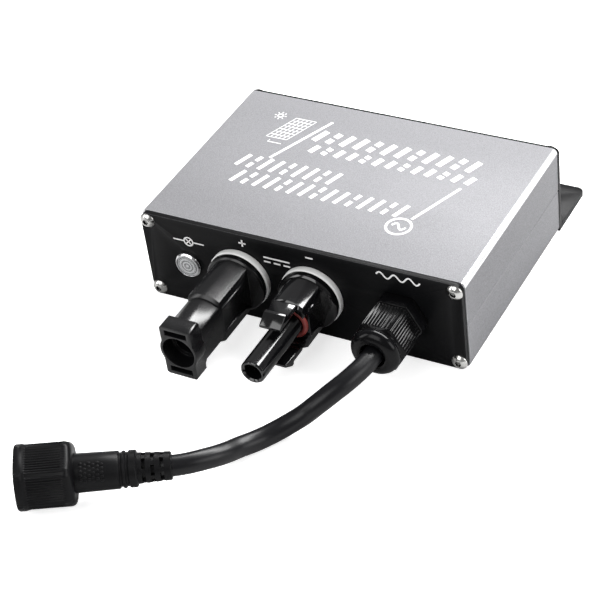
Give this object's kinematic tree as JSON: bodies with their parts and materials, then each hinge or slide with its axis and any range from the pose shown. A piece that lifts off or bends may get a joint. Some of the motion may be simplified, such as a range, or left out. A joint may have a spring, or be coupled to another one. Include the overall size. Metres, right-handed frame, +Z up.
{
  "type": "string inverter",
  "caption": "Flat silver aluminium micro inverter box with black end plates, a mounting foot, two solar connectors and a short AC cable with a round screw-on plug.",
  "frame": {"origin": "centre of the case's flat bottom face", "axes": "+X along the connector face, +Y from the connectors towards the mounting foot, +Z up from the bottom face"},
  "size_m": [0.1244, 0.2263, 0.036],
  "materials": {
    "anodised_aluminium": "fine bead-blasted silver anodising",
    "black_plate": "satin black anodised aluminium",
    "black_rubber": "moulded black rubber",
    "stainless_steel": "machined stainless steel",
    "polished_metal": "turned and polished",
    "clear_lens": "clear moulded lens",
    "lamp_body": "clear epoxy lamp",
    "tinned_copper": "tin-plated copper",
    "white_nylon": "white nylon washer",
    "satin_black_nylon": "satin black engineering nylon",
    "gloss_black_nylon": "glossy black nylon",
    "red_wire": "silicone wire jacket",
    "black_wire": "silicone wire jacket",
    "red_silicone": "red silicone ring",
    "black_jacket": "smooth black cable jacket",
    "moulded_black_plug": "fine satin moulded plastic",
    "brass_pins": "machined brass",
    "green_board": "solder-masked board",
    "dark_sleeve": "shrink sleeve",
    "grey_ferrite": "sintered ferrite",
    "green_ferrite": "coated powder core",
    "copper_wire": "enamelled copper wire",
    "bare_aluminium": "milled aluminium",
    "grey_pad": "soft thermal pad",
    "epoxy_black": "moulded epoxy",
    "yellow_box": "moulded capacitor box",
    "blue_box": "moulded blue case",
    "white_ceramic": "ceramic tube",
    "green_terminal": "moulded terminal block",
    "brown_wire": "wire jacket",
    "blue_wire": "wire jacket",
    "green_wire": "green wire jacket",
    "white_print": "screen-printed white ink"
  },
  "bodies": {
    "case": {"upper_shell": "anodised_aluminium", "lower_shell": "anodised_aluminium", "front_plate": "black_plate", "rear_plate": "black_plate", "front_gasket": "black_rubber", "rear_gasket": "black_rubber", "front_screws": "stainless_steel", "rear_screws": "stainless_steel", "status_bezel": "polished_metal", "status_lens": "clear_lens", "status_led": "lamp_body", "status_nut": "stainless_steel", "status_leads": "tinned_copper", "plus_washer": "white_nylon", "plus_housing": "satin_black_nylon", "plus_contact": "tinned_copper", "plus_lock_nut": "satin_black_nylon", "plus_lead": "red_wire", "minus_washer": "white_nylon", "minus_housing": "gloss_black_nylon", "minus_contact": "tinned_copper", "minus_seal_ring": "red_silicone", "minus_lock_nut": "satin_black_nylon", "minus_lead": "black_wire", "gland_body": "gloss_black_nylon", "gland_seal": "black_rubber", "gland_cap": "gloss_black_nylon", "gland_lock_nut": "satin_black_nylon", "ac_cable": "black_jacket", "ac_plug_body": "moulded_black_plug", "ac_plug_insert": "satin_black_nylon", "ac_plug_pins": "brass_pins", "ac_plug_seal": "black_rubber", "main_board": "green_board", "input_capacitors": "dark_sleeve", "transformer_core": "grey_ferrite", "transformer_bobbin": "satin_black_nylon", "transformer_winding": "copper_wire", "heat_spreader": "bare_aluminium", "thermal_pad": "grey_pad", "power_transistors": "epoxy_black", "clamp_bar": "stainless_steel", "clamp_screws": "stainless_steel", "choke_core": "green_ferrite", "choke_winding": "copper_wire", "film_capacitors": "yellow_box", "relay": "blue_box", "fuse": "white_ceramic", "fuse_clips": "tinned_copper", "varistor": "blue_box", "control_chips": "epoxy_black", "terminal_block": "green_terminal", "live_lead": "brown_wire", "neutral_lead": "blue_wire", "earth_lead": "green_wire"},
    "coupling_nut": {"ac_plug_nut": "moulded_black_plug"},
    "upper_latch": {"minus_latch_upper": "gloss_black_nylon"},
    "lower_latch": {"minus_latch_lower": "gloss_black_nylon"}
  },
  "joints": [
    {"name": "coupling_nut_turn", "type": "hinge", "parent": "case", "child": "coupling_nut", "pos_m": [-0.03551, -0.14527, 0.01128], "axis": [-0.8608, -0.5071, 0.0436], "continuous": true},
    {"name": "upper_latch_flex", "type": "hinge", "parent": "case", "child": "upper_latch", "pos_m": [0.0052, -0.0602, 0.0264], "axis": [1, 0, 0], "range_deg": [0, 8], "stiffness_Nm_per_rad": 0.5},
    {"name": "lower_latch_flex", "type": "hinge", "parent": "case", "child": "lower_latch", "pos_m": [0.0052, -0.0602, 0.0086], "axis": [-1, 0, 0], "range_deg": [0, 8], "stiffness_Nm_per_rad": 0.5}
  ]
}
